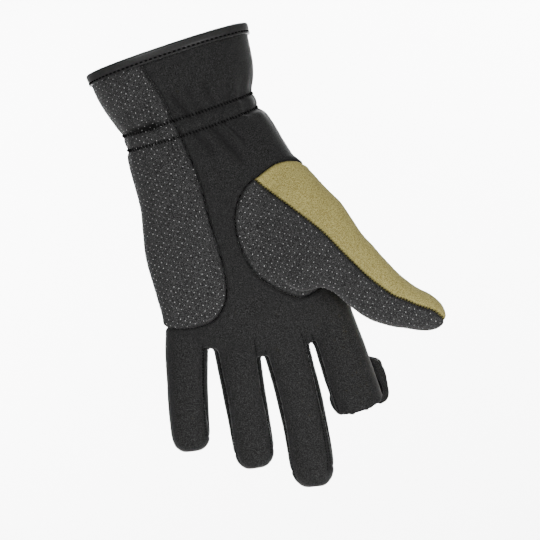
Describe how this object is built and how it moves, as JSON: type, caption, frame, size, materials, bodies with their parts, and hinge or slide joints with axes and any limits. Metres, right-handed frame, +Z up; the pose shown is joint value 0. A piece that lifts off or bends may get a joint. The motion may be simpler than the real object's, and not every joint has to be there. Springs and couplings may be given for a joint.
{
  "type": "fishing glove",
  "caption": "Left-hand stretch-fabric fishing glove in its worn form, with dotted grip panels, an olive thumb, an elastic wrist and an index finger whose tip cover is folded back.",
  "frame": {"origin": "middle of the cuff's opening", "axes": "+Z up the arm out of the cuff, -Y the palm's side, +X the thumb's side; the fingers point down -Z"},
  "size_m": [0.1496, 0.0756, 0.2338],
  "materials": {
    "black_fabric": "matte black soft-shell stretch fabric with a faint speckle",
    "dotted_grip": "dark grey fabric with rows of small raised grip dots",
    "olive_fabric": "matte brushed olive fabric",
    "binding": "smooth dark grey synthetic leather, satin"
  },
  "bodies": {
    "root": {"palm_panel": "black_fabric", "back_panel": "black_fabric", "heel_grip": "dotted_grip", "thumb_grip": "dotted_grip", "thumb_back": "olive_fabric", "strip_little_ring": "black_fabric", "strip_ring_middle": "black_fabric", "strip_middle_index": "black_fabric", "cuff_binding": "binding", "index_hood": "black_fabric"}
  },
  "joints": []
}
